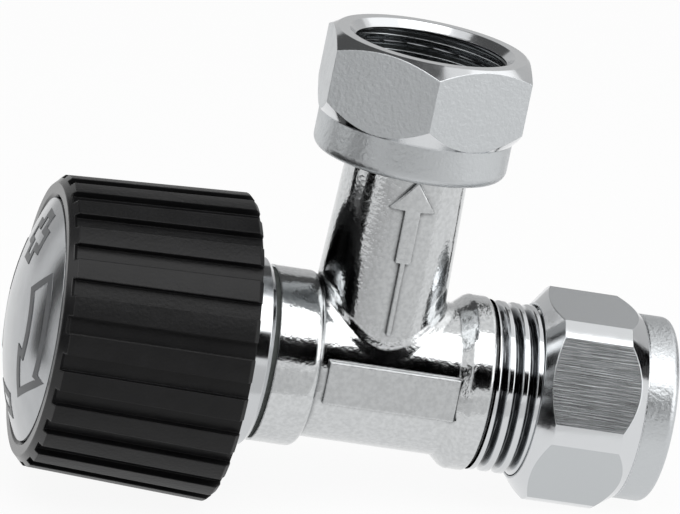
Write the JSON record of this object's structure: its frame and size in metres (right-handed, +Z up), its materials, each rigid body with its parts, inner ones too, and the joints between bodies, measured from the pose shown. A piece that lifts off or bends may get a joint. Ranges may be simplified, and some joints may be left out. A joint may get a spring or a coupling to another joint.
{
  "type": "isolating valve",
  "caption": "Chrome-plated angle stop valve with a ribbed hand knob, a compression end for a copper pipe and a swivel union nut on its branch.",
  "frame": {"origin": "the stop inside the pipe socket, on the valve axis, where the end of the supply pipe comes to rest", "axes": "+X along the valve axis, out of the pipe socket and away from the knob; +Z up the branch; the camera side of the picture is -Y"},
  "size_m": [0.0811, 0.0378, 0.0603],
  "materials": {
    "chrome_plated_forging": "polished chrome plate over a forged brass tee",
    "chrome_plated_turning": "chrome plate over turned brass",
    "chrome_plated_nut": "satin chrome plate over machined brass, with fine turning marks",
    "bare_brass": "turned brass, unplated",
    "spring_steel": "bright steel",
    "seal_rubber": "moulded black rubber",
    "fibre_gasket": "dark pressed fibre",
    "low_friction_plastic": "white bearing plastic",
    "black_knob_plastic": "moulded black plastic, satin",
    "silvered_cap_plastic": "moulded plastic with a bright silver coat"
  },
  "bodies": {
    "valve": {"valve_body": "chrome_plated_forging", "bonnet": "chrome_plated_turning", "bonnet_gasket": "fibre_gasket", "swivel_retaining_ring": "spring_steel", "outlet_gasket": "fibre_gasket"},
    "handle": {"knob": "black_knob_plastic", "knob_cap": "silvered_cap_plastic", "knob_screw": "spring_steel", "spindle": "bare_brass", "spindle_clip": "spring_steel", "thrust_washer": "low_friction_plastic", "spindle_o_ring_upper": "seal_rubber", "spindle_o_ring_lower": "seal_rubber"},
    "disc": {"disc_carrier": "bare_brass", "carrier_o_ring": "seal_rubber", "seat_washer": "seal_rubber", "washer_screw": "spring_steel"},
    "swivel": {"swivel_nut": "chrome_plated_nut"},
    "pipe_ring": {"olive": "bare_brass"},
    "compression": {"compression_nut": "chrome_plated_nut"}
  },
  "joints": [
    {"name": "knob_turn", "type": "hinge", "parent": "valve", "child": "handle", "pos_m": [0, 0, 0], "axis": [-1, 0, 0], "range_deg": [0, 900]},
    {"name": "disc_lift", "type": "slide", "parent": "valve", "child": "disc", "axis": [-1, 0, 0], "range_m": [0, 0.004]},
    {"name": "swivel_turn", "type": "hinge", "parent": "valve", "child": "swivel", "pos_m": [-0.012, 0, 0], "axis": [0, 0, 1], "continuous": true},
    {"name": "nut_advance", "type": "slide", "parent": "valve", "child": "pipe_ring", "axis": [1, 0, 0], "range_m": [-0.00217, 0.00453]},
    {"name": "nut_turn", "type": "hinge", "parent": "pipe_ring", "child": "compression", "pos_m": [0, 0, 0], "axis": [1, 0, 0], "range_deg": [-430, 900]}
  ],
  "couplings": [
    {"joint": "disc_lift", "follows": "knob_turn", "m_per_rad": 0.00025465},
    {"joint": "nut_advance", "follows": "nut_turn", "m_per_rad": 0.00028871}
  ]
}
